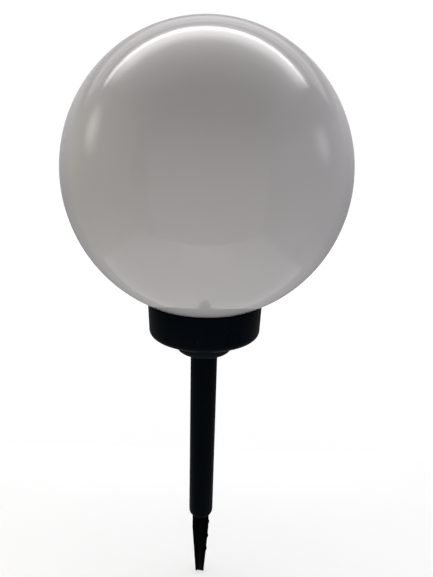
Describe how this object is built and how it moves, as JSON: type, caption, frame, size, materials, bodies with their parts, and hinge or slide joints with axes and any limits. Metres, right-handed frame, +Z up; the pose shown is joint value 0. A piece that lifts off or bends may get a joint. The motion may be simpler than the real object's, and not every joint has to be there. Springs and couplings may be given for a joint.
{
  "type": "solar garden globe light",
  "caption": "Opal ball light on a low round base with a solar module inside, on a stake tube with a ribbed spike for the ground.",
  "frame": {"origin": "on the lamp's upright axis at the soil line, which is the lower end of the stake tube", "axes": "+Z up along the stake towards the ball, -Y towards the viewer, +X to the viewer's right and the side of the spike's barbed rib"},
  "size_m": [0.2, 0.2, 0.4474],
  "materials": {
    "opal_plastic": "opal white, glossy, light passes through diffusely",
    "housing_plastic": "black, fine satin mould finish",
    "socket_plastic": "black, slightly greyer, matt mould finish",
    "stake_plastic": "black, satin, faint draw marks along the length",
    "plate_plastic": "black, matt",
    "seal_rubber": "black soft rubber",
    "button_rubber": "dark grey soft rubber",
    "screw_steel": "zinc-plated steel",
    "board_laminate": "green solder mask on laminate",
    "cell_silicon": "dark blue silicon under resin",
    "clear_resin": "clear cast resin",
    "tinned_wire": "tinned copper",
    "lens_epoxy": "clear epoxy lens",
    "component_plastic": "moulded component bodies",
    "cell_wrap": "plastic-sleeved steel can",
    "nickel_plate": "nickel-plated spring steel"
  },
  "bodies": {
    "spike": {"ground_spike": "stake_plastic"},
    "tube": {"stake_tube": "stake_plastic"},
    "base": {"base_housing": "housing_plastic", "stake_socket": "socket_plastic", "socket_screws": "screw_steel", "plate_screws": "screw_steel", "plate_gasket": "seal_rubber", "module_plate": "plate_plastic", "panel_board": "board_laminate", "solar_cells": "cell_silicon", "panel_cover": "clear_resin", "panel_leads": "tinned_wire", "leds": "lens_epoxy", "led_grommets": "seal_rubber", "circuit_board": "board_laminate", "board_components": "component_plastic", "board_screws": "screw_steel", "battery_tray": "plate_plastic", "battery": "cell_wrap", "battery_contact": "nickel_plate", "battery_spring": "nickel_plate", "switch_body": "component_plastic"},
    "button": {"switch_button": "button_rubber", "switch_plunger": "component_plastic"},
    "seal": {"globe_seal": "seal_rubber"},
    "globe": {"globe": "opal_plastic"}
  },
  "joints": [
    {"name": "tube_pull", "type": "slide", "parent": "spike", "child": "tube", "axis": [0, 0, 1], "range_m": [0, 0.022]},
    {"name": "base_pull", "type": "slide", "parent": "tube", "child": "base", "axis": [0, 0, 1], "range_m": [0, 0.015]},
    {"name": "button_press", "type": "slide", "parent": "base", "child": "button", "axis": [0, 0, 1], "range_m": [0, 0.0012], "stiffness_N_per_m": 400},
    {"name": "globe_turn", "type": "hinge", "parent": "base", "child": "seal", "pos_m": [0, 0, 0.1836], "axis": [0, 0, 1], "range_deg": [0, 120]},
    {"name": "globe_rise", "type": "slide", "parent": "seal", "child": "globe", "axis": [0, 0, 1], "range_m": [0, 0.006]}
  ],
  "couplings": [
    {"joint": "globe_rise", "follows": "globe_turn", "m_per_rad": 0.0028648}
  ]
}
